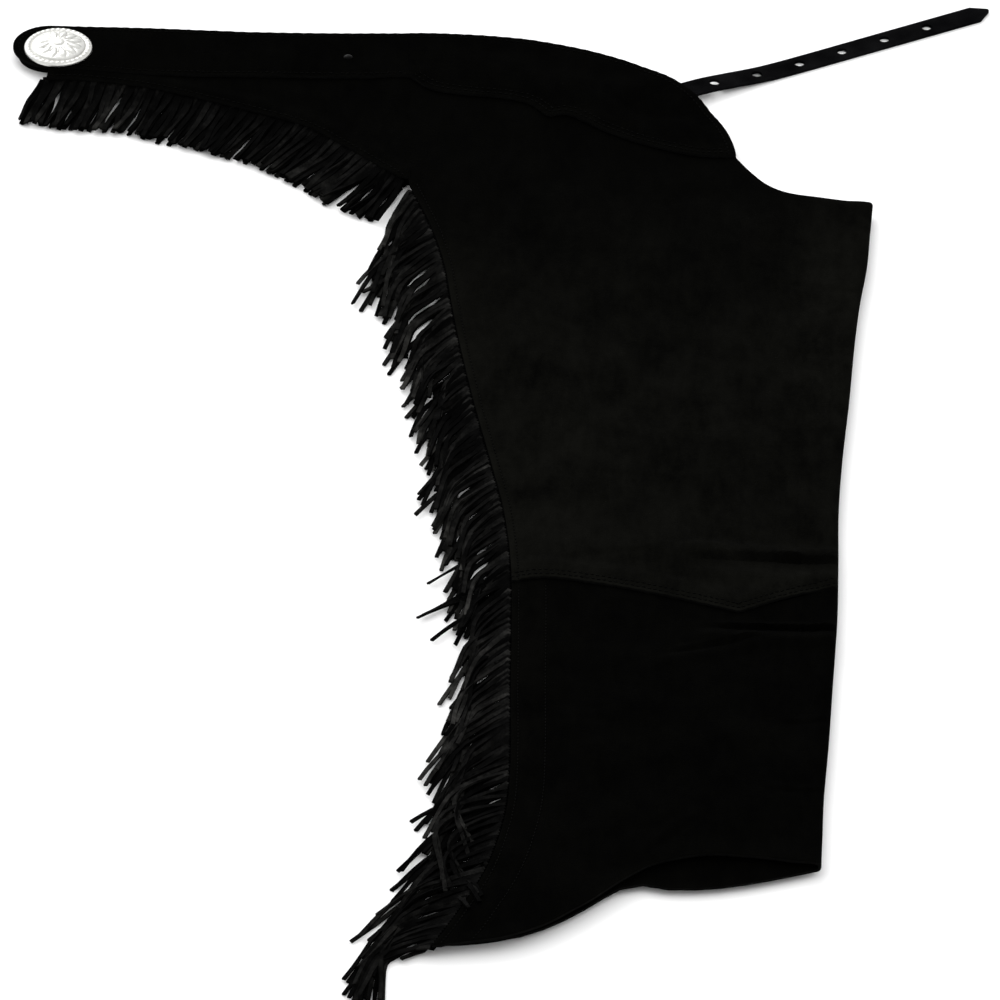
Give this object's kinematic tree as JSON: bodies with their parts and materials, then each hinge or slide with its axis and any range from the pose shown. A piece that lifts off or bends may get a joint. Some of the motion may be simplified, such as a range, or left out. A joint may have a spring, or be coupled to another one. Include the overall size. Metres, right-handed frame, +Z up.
{
  "type": "leather chaps",
  "caption": "Full-length fringed suede riding chaps, the pair folded in half at the centre back and laid flat, one leg on the other.",
  "frame": {"origin": "middle of the box on the surface that the garment lies on", "axes": "+Y up the leg from the hem to the waist, +Z up from the surface, +X from the fringed outer seam to the fold at the inner leg"},
  "size_m": [0.583, 1.0852, 0.0143],
  "materials": {
    "suede": "black suede, matt, fine nap",
    "cut_fringe": "black suede cut into strands",
    "strap_leather": "black smooth strap leather",
    "silver": "bright silver plate, engraved"
  },
  "bodies": {
    "root": {"thigh_panel": "suede", "shin_panel": "suede", "front_yoke": "suede", "back_yoke": "suede", "waist_band": "suede", "under_half": "suede", "yoke_fringe": "cut_fringe", "leg_fringe": "cut_fringe", "under_yoke_fringe": "cut_fringe", "under_leg_fringe": "cut_fringe", "strap": "strap_leather", "concho": "silver", "rivet": "silver"}
  },
  "joints": []
}
